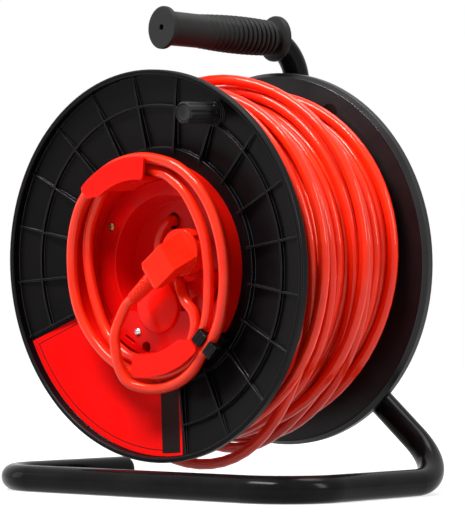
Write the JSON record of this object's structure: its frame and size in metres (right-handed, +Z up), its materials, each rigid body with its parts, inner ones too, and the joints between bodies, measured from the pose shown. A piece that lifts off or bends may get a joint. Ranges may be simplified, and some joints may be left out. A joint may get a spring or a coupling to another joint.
{
  "type": "extension cord reel",
  "caption": "Extension cord reel: ribbed black drum of orange-red cord on a bent tube stand, with crank knob, grip, stowed plug lead and lidded outlet.",
  "frame": {"origin": "floor level under the centre of the reel's bounding box", "axes": "+Z up, the drum's axle runs front to back along Y and droops 3.4 degrees towards the crank side at -Y, +X to the right seen from the crank side"},
  "size_m": [0.3308, 0.2353, 0.3811],
  "materials": {
    "stand_enamel": "glossy black enamel on bent steel tube",
    "black_plastic": "black moulded plastic",
    "grip_rubber": "ribbed black rubber",
    "zinc_steel": "zinc plated steel",
    "chrome_screw": "bright nickel plated",
    "yellow_screw": "dulled yellow plated steel",
    "brass_contact": "plated contact spring",
    "bearing_plastic": "natural acetal",
    "flange_plastic": "semi-gloss black moulded plastic",
    "hub_plastic": "glossy red moulded plastic",
    "label_film": "printed red film",
    "cord_jacket": "glossy orange-red PVC jacket",
    "plug_plastic": "satin orange-red PVC"
  },
  "bodies": {
    "frame": {"frame_tube": "stand_enamel", "tube_end_cap": "black_plastic", "handle_grip": "grip_rubber", "axle_saddle": "stand_enamel", "axle": "zinc_steel", "axle_nut": "zinc_steel", "axle_washers": "zinc_steel", "axle_circlip": "zinc_steel"},
    "drum": {"front_bearing": "bearing_plastic", "rear_bearing": "bearing_plastic", "front_flange": "flange_plastic", "rear_flange": "flange_plastic", "drum_core": "hub_plastic", "rear_hub_plate": "flange_plastic", "hub_plate_screws": "zinc_steel", "flange_screws": "zinc_steel", "label_plate": "label_film", "crank_bush": "black_plastic", "crank_pin": "zinc_steel", "socket_insert": "hub_plastic", "insert_screws": "yellow_screw", "outlet_body": "hub_plastic", "outlet_screw": "chrome_screw", "earth_clips": "brass_contact", "lid_hinge_pin": "zinc_steel", "lid_spring": "zinc_steel", "cord_clip": "black_plastic", "winding_core": "cord_jacket", "cord_winding": "cord_jacket", "lead_cord": "cord_jacket", "plug_body": "plug_plastic", "plug_pins": "chrome_screw", "plug_relief": "plug_plastic"},
    "knob": {"crank_knob": "black_plastic"},
    "lid": {"outlet_lid": "hub_plastic"}
  },
  "joints": [
    {"name": "drum_spin", "type": "hinge", "parent": "frame", "child": "drum", "pos_m": [0, -0.08488, 0.1746], "axis": [0, 0.9982, 0.0593], "continuous": true},
    {"name": "knob_spin", "type": "hinge", "parent": "drum", "child": "knob", "pos_m": [0.06302, -0.09162, 0.2881], "axis": [0, 0.9982, 0.0593], "continuous": true},
    {"name": "lid_hinge", "type": "hinge", "parent": "drum", "child": "lid", "pos_m": [-0.002, -0.07444, 0.16751], "axis": [-1, 0, 0], "range_deg": [0, 20], "stiffness_Nm_per_rad": 0.02, "springref_deg": -28.65}
  ]
}
